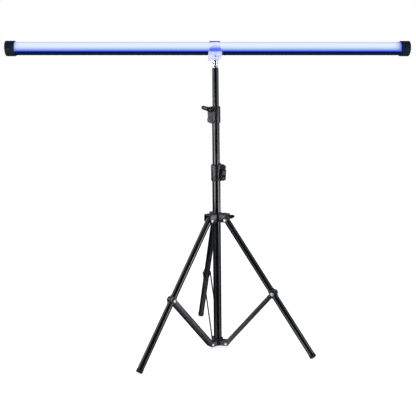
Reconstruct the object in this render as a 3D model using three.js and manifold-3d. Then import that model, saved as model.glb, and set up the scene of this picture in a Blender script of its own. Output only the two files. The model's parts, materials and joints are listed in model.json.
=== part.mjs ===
// A battery LED light tube held level on a folding three-leg light stand.
// Millimetres, +Z up. The floor is z = 0 and the origin lies under the middle of the whole object.
import * as THREE from "three";
import { mergeVertices } from "three/addons/utils/BufferGeometryUtils.js";
import Module from "manifold-3d";

const wasm = await Module();
wasm.setup();

// ---- driving dimensions ----
const DEG = Math.PI / 180;
const GAP = 0.3; // between pieces that touch
const SIDES = { tube: 28, round: 20, pin: 10 }; // of round pieces
const MAST_PLACE = new THREE.Vector3(18.6, -49.2, 0); // the mast's axis in the object's frame

const WALL = 1.2; // of every steel tube
const MAST_RADII = { lower: 12.5, middle: 11, top: 9.5 };
const LOWER_MAST = { bottom: 13.5, top: 560 };
const MIDDLE_MAST = { bottom: 205, top: 733 };
const TOP_MAST = { bottom: 335, top: 855.1 };

const LEG_AZIMUTHS = { rear: 100.64, left: 220.64, right: 340.64 };
const KNOB_AZIMUTH = 40.64; // midway between the rear and the right leg
const PIVOT_RADIUS = 30.6; // of the leg pins and of the hub pins, from the mast's axis
const LEG_PIVOT_Z = 407.7;
const LEG_ANGLE = 33.72 * DEG; // from the vertical, opened out
const LEG_RADIUS = 9.5;
const LEG_TOP = 7; // above its pin
const LEG_END = 475.7; // below its pin
const FOOT_END = 486;
const CLAMP_DISTANCE = 261.6; // from the leg pin down to the brace pin
const BRACE_LENGTH = 225.8; // pin to pin
const BRACE_ANGLE = Math.asin((CLAMP_DISTANCE * Math.sin(LEG_ANGLE)) / BRACE_LENGTH);
const HUB_PIVOT_Z =
  LEG_PIVOT_Z - CLAMP_DISTANCE * Math.cos(LEG_ANGLE) - BRACE_LENGTH * Math.cos(BRACE_ANGLE);
const BAR = { inner: 11, outer: 13, width: 14 }; // the two flat bars of a brace, from its middle plane
const PIN_RADIUS = 3;
const PIN_BORE = PIN_RADIUS + GAP;
const RIVET_HEAD = { radius: 5.2, height: 1.8 };
const CLAMP_HALF = 13; // half the length of the clamp on a leg

// A lock's ears reach out to one side, and its lever swings on a bolt at hubX.
const LOWER_LOCK = { place: 524, height: 50, radius: 15.6, reach: 29.3, fin: 5, hubX: 21.3, lever: 83 };
const UPPER_LOCK = {
  place: 745.3,
  height: 49.3,
  radius: 13.75,
  reach: 25.5,
  fin: 1.5,
  hubX: 15.6,
  lever: -17,
};
const LOCK_HUB_Z = 9.7; // of the clamping bolt, from the lock's bolt end
const LOCK_HALF = 11; // half the thickness of its two ears at the sleeve
const LOCK_TIP_HALF = 6.5; // and at their tips
const LOCK_BOSS = 6.8;
const EAR_REACH = 27.3; // of the ears' outline as it is drawn, before a lock stretches it
const LEVER_LENGTH = 27.4;

// The leg collar: three forks round a core. The slots start at slotStart and leave a web on top.
const FORK = { half: 15.5, slot: 10, slotStart: 18.3, web: 3.2, top: 426, bottom: 400.7, core: 21 };
const KNOB_Z = 407;
const KNOB_FLUTE = { radius: 2, offset: 7.7, low: 41, high: 90 };
const HUB = { radius: 16.5, top: 31.3, lugHalf: 10.7, lugEnd: 8, floor: 4 };

const STUD_RADIUS = 3.1; // of the spigot, with room for the clip's slack
const STRAP = { inner: 19.35, outer: 21.35, width: 31, middle: -1.5 };
const CLIP_OUTER = 24.3;
const CLIP_BOLT_Z = -22.6;
const INSERT_RADIUS = 6;

const TUBE_Z = 910.2; // the light tube's axis where it crosses the mast's
const TUBE_PAN = 1.07 * DEG; // as it was left turned on the spigot
const TUBE_TILT = -0.6 * DEG; // the slack of the clip on its stud
const TUBE_LENGTH = 1166;
const TUBE_SHIFT = -18.6; // of the tube's middle from the clip
const TUBE_RADIUS = 19;
const SHELL = 1.4;
const SEAM_ANGLE = 29 * DEG; // of the seam between diffuser and housing, below the horizontal
const CAP_RADIUS = 21.8;
const CAP_LENGTH = 27.5;
const CAP_WALL = 4;
const BODY_HALF = TUBE_LENGTH / 2 - CAP_WALL - GAP; // of the housing and the diffuser
const CHANNEL_HALF = 10.8; // half the width of the battery channel inside the housing
const DECK_THICKNESS = 1.2;
const LED_COUNT = 24;
const BULKHEAD_DEPTH = 10;
const CELLS = { radius: 7.2, z: -9.4, leftGap: 20, rightGap: 110 };
const CAP_SCREW_Z = 9.5;
const BUTTON = { y: 6, z: -8.5, radius: 3.3, flange: 4.6, proud: 0.9 };
const INLET = { y: -4, z: -11, halfWidth: 4.5, halfHeight: 1.65 };

// ---- materials ----
function finish(color, roughness, metalness, more = {}) {
  return new THREE.MeshStandardMaterial({ color, roughness, metalness, ...more });
}
const MATERIAL = {
  tubeBlack: finish(0x14151a, 0.22, 0.6),
  braceBlack: finish(0x1f2024, 0.4, 0.4),
  plasticBlack: finish(0x17181b, 0.5, 0),
  rubberBlack: finish(0x0e0f11, 0.8, 0),
  chrome: finish(0xdcdee2, 0.12, 1),
  steel: finish(0xa9acb1, 0.35, 1),
  brass: finish(0xb9964c, 0.35, 1),
  clear: finish(0xdcdcf6, 0.12, 0, { transparent: true, opacity: 0.45 }),
  housing: finish(0x0b1024, 0.35, 0.5),
  opal: finish(0xdfe9ff, 0.4, 0, { emissive: 0x5f8cff, emissiveIntensity: 1 }),
  board: finish(0xf1f1ee, 0.5, 0),
  boardGreen: finish(0x1f5a3c, 0.5, 0),
  battery: finish(0x2b4a7c, 0.5, 0),
};

// ---- geometry and boolean helpers ----
// A closed three.js geometry as a solid.
function solid(geometry) {
  const bare = geometry.clone();
  bare.deleteAttribute("normal");
  bare.deleteAttribute("uv");
  const merged = mergeVertices(bare, 1e-4);
  return new wasm.Manifold(
    new wasm.Mesh({
      numProp: 3,
      vertProperties: merged.attributes.position.array,
      triVerts: new Uint32Array(merged.index.array),
    }),
  );
}

function join(...geometries) {
  return geometries.map(asSolid).reduce((whole, piece) => whole.add(piece));
}

function cut(base, ...tools) {
  return tools.map(asSolid).reduce((whole, tool) => whole.subtract(tool), asSolid(base));
}

function common(a, b) {
  return asSolid(a).intersect(asSolid(b));
}

function asSolid(shape) {
  return shape.isBufferGeometry ? solid(shape) : shape;
}

function geometryOf(shape) {
  if (shape.isBufferGeometry) {
    return shape;
  }
  const mesh = shape.getMesh();
  const geometry = new THREE.BufferGeometry();
  geometry.setAttribute("position", new THREE.BufferAttribute(new Float32Array(mesh.vertProperties), 3));
  geometry.setIndex(new THREE.BufferAttribute(new Uint32Array(mesh.triVerts), 1));
  const flat = geometry.toNonIndexed();
  flat.computeVertexNormals();
  return flat;
}

function piece(parent, name, shape, material) {
  const mesh = new THREE.Mesh(geometryOf(shape), material);
  mesh.name = name;
  parent.add(mesh);
  return mesh;
}

function box(x0, x1, y0, y1, z0, z1) {
  const made = new THREE.BoxGeometry(x1 - x0, y1 - y0, z1 - z0);
  return made.translate((x0 + x1) / 2, (y0 + y1) / 2, (z0 + z1) / 2);
}

// A round bar along Z, X or Y.
function rod(axis, radius, from, to, sides = SIDES.round) {
  const made = new THREE.CylinderGeometry(radius, radius, to - from, sides);
  made.translate(0, (from + to) / 2, 0);
  if (axis === "z") {
    made.rotateX(Math.PI / 2);
  }
  if (axis === "x") {
    made.rotateZ(-Math.PI / 2);
  }
  return made;
}

// A body of revolution about Z. The profile's [radius, z] points run up the outside.
function turned(profile, sides = SIDES.round) {
  const points = profile.map(([radius, z]) => new THREE.Vector2(radius, z));
  return new THREE.LatheGeometry(points, sides).rotateX(Math.PI / 2);
}

function ring(inner, outer, from, to, sides = SIDES.tube) {
  const profile = [
    [inner, from],
    [outer, from],
    [outer, to],
    [inner, to],
    [inner, from],
  ];
  return turned(profile, sides);
}

function arc(radius, from, to, steps, cx = 0, cy = 0) {
  const points = [];
  for (let i = 0; i <= steps; i++) {
    const angle = from + ((to - from) * i) / steps;
    points.push([cx + radius * Math.cos(angle), cy + radius * Math.sin(angle)]);
  }
  return points;
}

function outline(points) {
  return new THREE.Shape(points.map(([x, y]) => new THREE.Vector2(x, y)));
}

// An outline of [y, z] points carried along X.
function alongX(points, from, to, holes = []) {
  const shape = outline(points);
  shape.holes = holes.map(outline);
  const made = new THREE.ExtrudeGeometry(shape, { depth: to - from, bevelEnabled: false });
  made.applyMatrix4(new THREE.Matrix4().set(0, 0, 1, from, 1, 0, 0, 0, 0, 1, 0, 0, 0, 0, 0, 1));
  return made;
}

// An outline of [x, z] points carried along Y.
function alongY(points, from, to) {
  const made = new THREE.ExtrudeGeometry(outline(points), { depth: to - from, bevelEnabled: false });
  return made.rotateX(Math.PI / 2).translate(0, to, 0);
}

// An outline of [x, y] points carried along Z.
function alongZ(points, from, to) {
  const made = new THREE.ExtrudeGeometry(outline(points), { depth: to - from, bevelEnabled: false });
  return made.translate(0, 0, from);
}

function turnedAbout(geometry, degrees) {
  return geometry.clone().rotateZ(degrees * DEG);
}

function group(parent, x, y, z) {
  const made = new THREE.Group();
  made.position.set(x, y, z);
  parent.add(made);
  return made;
}

// ---- mast ----
function steelTube(radius, ends) {
  return ring(radius - WALL, radius, ends.bottom, ends.top);
}

// The plastic ring at the foot of a sliding section, half of it plugged into the tube.
function guideBush(tubeRadius, z) {
  const bore = tubeRadius - WALL;
  const profile = [
    [bore - 3, z - 12],
    [tubeRadius, z - 12],
    [tubeRadius, z - GAP],
    [bore - GAP, z - GAP],
    [bore - GAP, z + 12],
    [bore - 3, z + 12],
    [bore - 3, z - 12],
  ];
  return turned(profile);
}

// A polished plug in the mast's end with a waisted neck and a threaded stud.
function spigotShape() {
  const z = TOP_MAST.top;
  const profile = [
    [0, z - 28],
    [8, z - 28],
    [8, z + 7],
    [6, z + 9],
    [6, z + 11.5],
    [8, z + 13.5],
    [8, z + 24],
    [7.2, z + 24.9],
    [STUD_RADIUS, z + 24.9],
    [STUD_RADIUS, z + 29.6],
    [0, z + 29.6],
  ];
  return turned(profile);
}

function buildMast(stand) {
  const { lower, middle, top } = MAST_RADII;
  piece(stand, "lower_mast_tube", steelTube(lower, LOWER_MAST), MATERIAL.tubeBlack);
  piece(stand, "middle_mast_tube", steelTube(middle, MIDDLE_MAST), MATERIAL.tubeBlack);
  piece(stand, "top_mast_tube", steelTube(top, TOP_MAST), MATERIAL.tubeBlack);
  piece(stand, "middle_guide_bush", guideBush(middle, MIDDLE_MAST.bottom), MATERIAL.plasticBlack);
  piece(stand, "top_guide_bush", guideBush(top, TOP_MAST.bottom), MATERIAL.plasticBlack);
  piece(stand, "spigot", spigotShape(), MATERIAL.chrome);
}

// ---- mast locks: a split sleeve, two ears and a clamping lever on a cross bolt ----
// In a lock's own frame the ears point along +X and the bolt end is at z = 0.
function lockBody(lock, boreAtBolt, boreAtEnd, step) {
  const s = lock.reach / EAR_REACH;
  const h = lock.height;
  const ears = [
    [4, 3],
    [18 * s, 1],
    [24 * s, 3],
    [26.2 * s, 8],
    [25.6 * s, 18],
    [25 * s, 34],
    [lock.reach, h - 12],
    [26.6 * s, h - 5],
    [21 * s, h - 0.8],
    [15.2, h - 0.2],
    [11.4, h + lock.fin],
    [8.2, h + lock.fin],
    [8.2, h - 1],
    [4, h - 1],
  ];
  const sleeve = turned(
    [
      [0, 0],
      [lock.radius - 1.2, 0],
      [lock.radius, 2.5],
      [lock.radius, h - 2.5],
      [lock.radius - 1.2, h],
      [0, h],
    ],
    SIDES.tube,
  );
  const plan = [
    [0, -LOCK_HALF],
    [9, -LOCK_HALF],
    [lock.reach + 1, -LOCK_TIP_HALF],
    [lock.reach + 1, LOCK_TIP_HALF],
    [9, LOCK_HALF],
    [0, LOCK_HALF],
  ];
  const tapered = common(alongY(ears, -LOCK_HALF, LOCK_HALF), alongZ(plan, -10, h + 10));
  const boss = rod("y", LOCK_BOSS, -LOCK_HALF, LOCK_HALF, SIDES.round).translate(lock.hubX, 0, LOCK_HUB_Z);
  return cut(
    join(sleeve, tapered, boss),
    rod("z", boreAtBolt + GAP, -1, step, SIDES.tube),
    rod("z", boreAtEnd + GAP, step - 1, h + 10, SIDES.tube),
    box(0, 40, -0.8, 0.8, -1, h + 10),
    rod("y", 2.8, -20, 20, SIDES.pin).translate(lock.hubX, 0, LOCK_HUB_Z),
  );
}

function leverShape() {
  const tip = 5.8;
  const hub = 7.2;
  const points = [
    ...arc(hub, 60 * DEG, 300 * DEG, 12),
    ...arc(tip, -80 * DEG, 80 * DEG, 8, LEVER_LENGTH - tip, 0),
  ];
  const arm = alongY(points, -LOCK_HALF - 7.5, -LOCK_HALF - GAP);
  return cut(arm, rod("y", 2.8, -30, 0, SIDES.pin));
}

function buildLock(stand, prefix, lock, turnedOver, boreAtBolt, boreAtEnd, step) {
  const frame = group(stand, 0, 0, lock.place);
  frame.rotation.y = turnedOver ? Math.PI : 0;
  piece(frame, prefix + "_lock_body", lockBody(lock, boreAtBolt, boreAtEnd, step), MATERIAL.plasticBlack);
  const hub = group(frame, lock.hubX, 0, LOCK_HUB_Z);
  const shank = rod("y", 2.5, -LOCK_HALF - 8, LOCK_HALF + 4, SIDES.pin);
  const head = rod("y", 3.8, -LOCK_HALF - 9.8, -LOCK_HALF - 7.8);
  piece(hub, prefix + "_lock_bolt", join(shank, head), MATERIAL.steel);
  const nut = cut(rod("y", 4.6, LOCK_HALF + GAP, LOCK_HALF + 4, 6), rod("y", 2.8, 0, 30, SIDES.pin));
  piece(hub, prefix + "_lock_nut", nut, MATERIAL.steel);
  const swing = group(hub, 0, 0, 0);
  swing.rotation.y = -lock.lever * DEG;
  piece(swing, prefix + "_lock_lever", leverShape(), MATERIAL.plasticBlack);
}

// ---- leg collar, which slides on the lower tube, and its clamping knob ----
function collarShape() {
  const reach = LEG_PIVOT_Z - FORK.bottom;
  const side = [
    [0, FORK.bottom],
    ...arc(reach, -90 * DEG, 0, 6, PIVOT_RADIUS, LEG_PIVOT_Z),
    [PIVOT_RADIUS + reach, FORK.top - 4],
    [PIVOT_RADIUS + reach - 3, FORK.top],
    [0, FORK.top],
  ];
  const fork = alongY(side, -FORK.half, FORK.half);
  const slot = box(FORK.slotStart, 60, -FORK.slot, FORK.slot, FORK.bottom - 5, FORK.top - FORK.web);
  const pinHole = rod("y", PIN_BORE, -30, 30, SIDES.pin).translate(PIVOT_RADIUS, 0, LEG_PIVOT_Z);
  const boss = rod("x", 6.4, 10, 31, 16).translate(0, 0, KNOB_Z);
  let whole = asSolid(rod("z", FORK.core, FORK.bottom, FORK.top, SIDES.tube));
  whole = join(whole, turnedAbout(boss, KNOB_AZIMUTH));
  for (const azimuth of Object.values(LEG_AZIMUTHS)) {
    whole = join(whole, turnedAbout(fork, azimuth));
  }
  for (const azimuth of Object.values(LEG_AZIMUTHS)) {
    whole = cut(whole, turnedAbout(slot, azimuth), turnedAbout(pinHole, azimuth));
  }
  const screwHole = rod("x", 3.3, 5, 40, SIDES.pin).translate(0, 0, KNOB_Z);
  const bore = rod("z", MAST_RADII.lower + GAP, FORK.bottom - 5, FORK.top + 5, SIDES.tube);
  return cut(whole, bore, turnedAbout(screwHole, KNOB_AZIMUTH));
}

// A rivet along Y with a low head at each end.
function rivetShape(half) {
  const seat = half + GAP;
  return join(
    rod("y", PIN_RADIUS, -half - 1, half + 1, SIDES.pin),
    rod("y", RIVET_HEAD.radius, seat, seat + RIVET_HEAD.height, 16),
    rod("y", RIVET_HEAD.radius, -seat - RIVET_HEAD.height, -seat, 16),
  );
}

function knobShape() {
  const profile = [
    [0, 34],
    [5.9, 34],
    [6.5, 37],
    [6.5, 52],
    [6.2, 60],
    [5, 67],
    [3.2, 71],
    [1.6, 73],
    [0, 73],
  ];
  let knob = asSolid(turned(profile));
  for (let i = 0; i < 6; i++) {
    const flute = rod("z", KNOB_FLUTE.radius, KNOB_FLUTE.low, KNOB_FLUTE.high, SIDES.pin);
    knob = cut(knob, turnedAbout(flute.translate(KNOB_FLUTE.offset, 0, 0), i * 60));
  }
  return cut(knob, rod("z", 3.3, 30, 52, SIDES.pin));
}

function buildCollar(stand) {
  piece(stand, "leg_collar", collarShape(), MATERIAL.plasticBlack);
  for (const [side, azimuth] of Object.entries(LEG_AZIMUTHS)) {
    const frame = group(stand, 0, 0, 0);
    frame.rotation.z = azimuth * DEG;
    const pin = piece(frame, "leg_pin_" + side, rivetShape(FORK.half), MATERIAL.chrome);
    pin.position.set(PIVOT_RADIUS, 0, LEG_PIVOT_Z);
  }
  const outward = group(stand, 0, 0, KNOB_Z);
  outward.rotation.set(0, 90 * DEG, KNOB_AZIMUTH * DEG, "ZYX");
  piece(outward, "collar_knob", knobShape(), MATERIAL.plasticBlack);
  piece(outward, "collar_knob_screw", rod("z", 3, MAST_RADII.lower + GAP, 51, SIDES.pin), MATERIAL.steel);
}

// ---- hub at the mast's foot ----
function hubShape() {
  const bottom = HUB_PIVOT_Z - HUB.lugEnd;
  const side = [
    [0, bottom],
    ...arc(HUB.lugEnd, -90 * DEG, 90 * DEG, 10, PIVOT_RADIUS, HUB_PIVOT_Z),
    [0, HUB_PIVOT_Z + HUB.lugEnd],
  ];
  const lug = alongY(side, -HUB.lugHalf, HUB.lugHalf);
  const pinHole = rod("y", PIN_BORE, -30, 30, SIDES.pin).translate(PIVOT_RADIUS, 0, HUB_PIVOT_Z);
  let whole = asSolid(rod("z", HUB.radius, bottom, HUB.top, SIDES.tube));
  for (const azimuth of Object.values(LEG_AZIMUTHS)) {
    whole = join(whole, turnedAbout(lug, azimuth));
    whole = cut(whole, turnedAbout(pinHole, azimuth));
  }
  const bore = rod("z", MAST_RADII.lower + GAP, bottom + HUB.floor, HUB.top + 5, SIDES.tube);
  const drain = rod("z", 5, bottom - 5, bottom + HUB.floor + 1, SIDES.pin);
  return cut(whole, bore, drain);
}

function buildHub(stand) {
  piece(stand, "lower_hub", hubShape(), MATERIAL.plasticBlack);
  for (const [side, azimuth] of Object.entries(LEG_AZIMUTHS)) {
    const frame = group(stand, 0, 0, 0);
    frame.rotation.z = azimuth * DEG;
    const pin = piece(frame, "hub_pin_" + side, rivetShape(BAR.outer), MATERIAL.chrome);
    pin.position.set(PIVOT_RADIUS, 0, HUB_PIVOT_Z);
  }
}

// ---- legs: in a leg's own frame its pin is along Y at the origin and the tube runs down -Z ----
function legTube() {
  const tube = ring(LEG_RADIUS - WALL, LEG_RADIUS, -LEG_END, LEG_TOP);
  const pinHole = rod("y", PIN_BORE, -20, 20, SIDES.pin);
  const clampHole = pinHole.clone().translate(0, 0, -CLAMP_DISTANCE);
  return cut(tube, pinHole, clampHole);
}

// A sleeve round the tube between the brace bars, with a rounded bump on its outer side.
function clampShape() {
  const bump = [
    [0, -CLAMP_HALF],
    ...arc(10, -62 * DEG, 62 * DEG, 8, 4.6, 0),
    [0, CLAMP_HALF],
  ];
  const outer = rod("z", BAR.inner - GAP, -CLAMP_HALF, CLAMP_HALF);
  const side = alongY(bump, -8.5, 8.5);
  const bore = rod("z", LEG_RADIUS + GAP, -20, 20);
  const pinHole = rod("y", PIN_BORE, -20, 20, SIDES.pin);
  return cut(join(outer, side), bore, pinHole);
}

function footShape() {
  const bore = LEG_RADIUS - WALL - GAP;
  const profile = [
    [0, -FOOT_END],
    [9.4, -FOOT_END],
    [10.2, -FOOT_END + 1],
    [10.2, -LEG_END - GAP],
    [bore, -LEG_END - GAP],
    [bore, -LEG_END + 18],
    [bore - 1, -LEG_END + 20],
    [0, -LEG_END + 20],
  ];
  return turned(profile);
}

// Everything under the floor, in the frame of a leg that leans by LEG_ANGLE.
function underFloor() {
  const slab = new THREE.BoxGeometry(200, 200, 50);
  slab.translate(PIVOT_RADIUS + FOOT_END * Math.sin(LEG_ANGLE), 0, -25);
  slab.translate(-PIVOT_RADIUS, 0, -LEG_PIVOT_Z);
  return slab.rotateY(LEG_ANGLE);
}

function buildLegs(stand) {
  for (const [side, azimuth] of Object.entries(LEG_AZIMUTHS)) {
    const frame = group(stand, 0, 0, 0);
    frame.rotation.z = azimuth * DEG;
    const leg = group(frame, PIVOT_RADIUS, 0, LEG_PIVOT_Z);
    leg.rotation.y = -LEG_ANGLE;
    piece(leg, "leg_tube_" + side, legTube(), MATERIAL.tubeBlack);
    piece(leg, "foot_" + side, cut(footShape(), underFloor()), MATERIAL.rubberBlack);
    const clamp = group(leg, 0, 0, -CLAMP_DISTANCE);
    piece(clamp, "leg_clamp_" + side, clampShape(), MATERIAL.plasticBlack);
    const pinHalf = BAR.inner - GAP;
    piece(clamp, "clamp_pin_" + side, rod("y", PIN_RADIUS, -pinHalf, pinHalf, SIDES.pin), MATERIAL.steel);
  }
}

// ---- braces: in a brace's own frame the hub pin is at the origin and the bars run up +Z ----
// The bar on the +Y side has the head of the clamp's rivet on its outer face.
function barShape() {
  const r = BAR.width / 2;
  const points = [...arc(r, 180 * DEG, 360 * DEG, 8), ...arc(r, 0, 180 * DEG, 8, 0, BRACE_LENGTH)];
  const bar = cut(alongY(points, BAR.inner, BAR.outer), rod("y", PIN_BORE, -20, 20, SIDES.pin));
  const head = rod("y", RIVET_HEAD.radius, BAR.outer - 1, BAR.outer + RIVET_HEAD.height, 16);
  return join(bar, head.translate(0, 0, BRACE_LENGTH));
}

function buildBraces(stand) {
  for (const [side, azimuth] of Object.entries(LEG_AZIMUTHS)) {
    const frame = group(stand, 0, 0, 0);
    frame.rotation.z = azimuth * DEG;
    const brace = group(frame, PIVOT_RADIUS, 0, HUB_PIVOT_Z);
    brace.rotation.y = BRACE_ANGLE;
    piece(brace, "brace_bar_a_" + side, barShape(), MATERIAL.braceBlack);
    const opposite = piece(brace, "brace_bar_b_" + side, barShape(), MATERIAL.braceBlack);
    opposite.rotation.z = 180 * DEG;
  }
}

// ---- clip: in the head's own frame X is the light tube's axis ----
// A circle's sine or cosine, drawn out so that the arch has a flatter top and steeper sides.
function squarer(value) {
  return Math.sign(value) * Math.abs(value) ** 0.75;
}

function saddleShape() {
  const rim = Math.asin(10 / CLIP_OUTER);
  const inner = STRAP.outer + GAP;
  const section = [
    ...arc(CLIP_OUTER, rim, -40 * DEG, 8),
    [15, -31],
    [14, -34],
    [-14, -34],
    [-15, -31],
    ...arc(CLIP_OUTER, 220 * DEG, 180 * DEG - rim, 8),
    ...arc(inner, 180 * DEG - rim, 242 * DEG, 12),
    ...arc(STRAP.inner, 246 * DEG, 294 * DEG, 8),
    ...arc(inner, 298 * DEG, 360 * DEG + rim, 12),
  ];
  const face = [
    [-20, -8],
    [-20, -34],
    [-10.5, -34],
    [-9.5, -29.6],
    [9.5, -29.6],
    [10.5, -33],
    [13, -33],
    [21.5, -17],
    [21.5, -8],
    [17.5, -6.5],
    ...arc(1, 0, 180 * DEG, 14).map(([c, s]) => [16 * squarer(c), -4 + 12 * squarer(s)]),
    [-18, -6.5],
  ];
  return cut(
    common(alongX(section, -25, 30), alongY(face, -30, 30)),
    rod("z", INSERT_RADIUS + GAP, -40, -24.3),
    rod("y", 1.8, -30, 30, SIDES.pin).translate(0, 0, CLIP_BOLT_Z),
  );
}

function strapShape() {
  const points = [
    ...arc(STRAP.outer, -56 * DEG, 236 * DEG, 30),
    ...arc(STRAP.inner, 236 * DEG, -56 * DEG, 30),
  ];
  return alongX(points, STRAP.middle - STRAP.width / 2, STRAP.middle + STRAP.width / 2);
}

function buildClip(head) {
  piece(head, "clip_saddle", saddleShape(), MATERIAL.clear);
  piece(head, "clip_strap", strapShape(), MATERIAL.clear);
  const insert = ring(STUD_RADIUS + 0.6, INSERT_RADIUS, -29.4, -24.6, SIDES.round);
  piece(head, "clip_thread_insert", insert, MATERIAL.brass);
  const across = group(head, 0, 0, CLIP_BOLT_Z);
  const bolt = join(rod("y", 1.5, -19, 20.4, SIDES.pin), rod("y", 2.9, -20.4, -18.1, 12));
  piece(across, "clip_bolt", bolt, MATERIAL.steel);
  const nut = cut(rod("y", 3.2, 18.2, 20.4, 6), rod("y", 1.8, 0, 30, SIDES.pin));
  piece(across, "clip_nut", nut, MATERIAL.steel);
}

// ---- light tube: in its own frame X is its axis and its middle is the origin ----
// A round-bottomed aluminium channel with a box for the cells under its deck.
function housingShape() {
  const outer = TUBE_RADIUS;
  const inner = TUBE_RADIUS - SHELL;
  const low = -SEAM_ANGLE;
  const wallOut = CHANNEL_HALF + DECK_THICKNESS;
  const foot = -Math.acos(wallOut / inner);
  const hollow = -Math.acos(CHANNEL_HALF / inner);
  const section = [
    ...arc(outer, low, -Math.PI - low, 20).reverse(),
    ...arc(inner, low, foot, 3),
    [wallOut, 0],
    [-wallOut, 0],
    ...arc(inner, -Math.PI - foot, -Math.PI - low, 3),
  ];
  const channel = [
    ...arc(inner, -Math.PI - hollow, hollow, 8),
    [CHANNEL_HALF, -DECK_THICKNESS],
    [-CHANNEL_HALF, -DECK_THICKNESS],
  ];
  return alongX(section, -BODY_HALF, BODY_HALF, [channel]);
}

function diffuserShape() {
  const start = -SEAM_ANGLE + 0.6 * DEG;
  const end = Math.PI - start;
  const points = [...arc(TUBE_RADIUS, start, end, 36), ...arc(TUBE_RADIUS - SHELL, end, start, 36)];
  return alongX(points, -BODY_HALF, BODY_HALF);
}

function ledBoard() {
  const half = BODY_HALF - 8;
  let board = asSolid(box(-half, half, -9, 9, GAP, 1.9));
  for (let i = 0; i < LED_COUNT; i++) {
    const x = -half + ((i + 0.5) * 2 * half) / LED_COUNT;
    board = join(board, box(x - 2.5, x + 2.5, -2.5, 2.5, 1.5, 3.5));
  }
  return board;
}

// A cup with a rounded rim, screwed to the bulkhead inside.
function capShape() {
  const profile = [
    [0, 0],
    [CAP_RADIUS - 1.6, 0],
    [CAP_RADIUS - 0.4, 0.5],
    [CAP_RADIUS, 1.6],
    [CAP_RADIUS, CAP_LENGTH - 0.8],
    [CAP_RADIUS - 0.8, CAP_LENGTH],
    [TUBE_RADIUS + GAP, CAP_LENGTH],
    [TUBE_RADIUS + GAP, CAP_WALL],
    [0, CAP_WALL],
  ];
  return turned(profile, SIDES.tube);
}

// A plastic plug on top of the deck under the diffuser, which takes the cap's screw.
function bulkheadShape() {
  const section = arc(TUBE_RADIUS - SHELL - GAP, 20 * DEG, 160 * DEG, 16);
  const block = alongX(section, 0, BULKHEAD_DEPTH);
  return cut(block, rod("x", 1.8, -5, 20, SIDES.pin).translate(0, 0, CAP_SCREW_Z));
}

function capScrew() {
  return join(rod("z", 3, -1.6, 0, 12), rod("z", 1.5, -0.5, 12, SIDES.pin));
}

// The right cap's holes for the button and the inlet, in the end's own frame.
function controlHoles() {
  const { y, z, halfWidth, halfHeight } = INLET;
  return [
    rod("z", BUTTON.radius + GAP, -5, 10).translate(BUTTON.z, BUTTON.y, 0),
    box(z - halfHeight, z + halfHeight, y - halfWidth, y + halfWidth, -5, 10),
  ];
}

// In an end's own frame +Z points inwards along the tube and +X points up.
function buildEnd(tube, side) {
  const left = side === "left";
  const end = group(tube, left ? -TUBE_LENGTH / 2 : TUBE_LENGTH / 2, 0, 0);
  end.rotation.set(0, -90 * DEG, left ? 180 * DEG : 0, "ZYX");
  const screwHole = rod("z", 1.8, -5, 10, SIDES.pin).translate(CAP_SCREW_Z, 0, 0);
  const headHole = rod("z", 3.3, -5, 1.9, 12).translate(CAP_SCREW_Z, 0, 0);
  const cap = cut(capShape(), screwHole, headHole, ...(left ? [] : controlHoles()));
  piece(end, side + "_end_cap", cap, MATERIAL.plasticBlack);
  const screw = piece(end, side + "_cap_screw", capScrew(), MATERIAL.steel);
  screw.position.set(CAP_SCREW_Z, 0, 1.6);
  const bulkhead = piece(tube, side + "_bulkhead", bulkheadShape(), MATERIAL.plasticBlack);
  bulkhead.position.x = left ? -BODY_HALF : BODY_HALF - BULKHEAD_DEPTH;
}

// The control board lies low in the channel at the right end, with its chips and the switch on it.
function controlBoard() {
  const end = BODY_HALF - 3;
  const top = INLET.z - INLET.halfHeight - GAP;
  return join(
    box(end - 70, end, -9, 9, top - 1.4, top),
    box(end - 50, end - 36, -5, 5, top - 0.2, top + 2.7),
    box(end - 28, end - 20, -6, 2, top - 0.2, top + 1.9),
    box(end - 5, end + 0.7, 3, 9, top - 0.2, top + 6.5),
  );
}

// A thin metal shell round a contact tongue, its mouth in the cap's end face.
function inletShape() {
  const mouth = TUBE_LENGTH / 2 - 0.6;
  const back = BODY_HALF - 9;
  const { y, z } = INLET;
  const w = INLET.halfWidth - GAP;
  const h = INLET.halfHeight - GAP;
  const wall = 0.4;
  const shell = cut(
    box(back, mouth, y - w, y + w, z - h, z + h),
    box(back + 2, mouth + 1, y - w + wall, y + w - wall, z - h + wall, z + h - wall),
  );
  return join(shell, box(back + 1, mouth - 1.4, y - 3, y + 3, z - 0.35, z + 0.35));
}

// A round cap through the end wall, kept in by a flange behind it.
function buttonShape() {
  const face = TUBE_LENGTH / 2;
  const seat = face - CAP_WALL - GAP;
  return join(
    rod("x", BUTTON.radius, seat - 0.5, face + BUTTON.proud),
    rod("x", BUTTON.flange, seat - 1.2, seat),
  );
}

function buildLightTube(head) {
  const tube = group(head, TUBE_SHIFT, 0, 0);
  piece(tube, "tube_housing", housingShape(), MATERIAL.housing);
  piece(tube, "diffuser", diffuserShape(), MATERIAL.opal);
  piece(tube, "led_board", ledBoard(), MATERIAL.board);
  const cells = rod("x", CELLS.radius, -BODY_HALF + CELLS.leftGap, BODY_HALF - CELLS.rightGap);
  piece(tube, "battery_pack", cells.translate(0, 0, CELLS.z), MATERIAL.battery);
  buildEnd(tube, "left");
  buildEnd(tube, "right");
  piece(tube, "control_board", controlBoard(), MATERIAL.boardGreen);
  piece(tube, "charge_inlet", inletShape(), MATERIAL.steel);
  const button = piece(tube, "power_button", buttonShape(), MATERIAL.rubberBlack);
  button.position.set(0, BUTTON.y, BUTTON.z);
}

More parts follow.
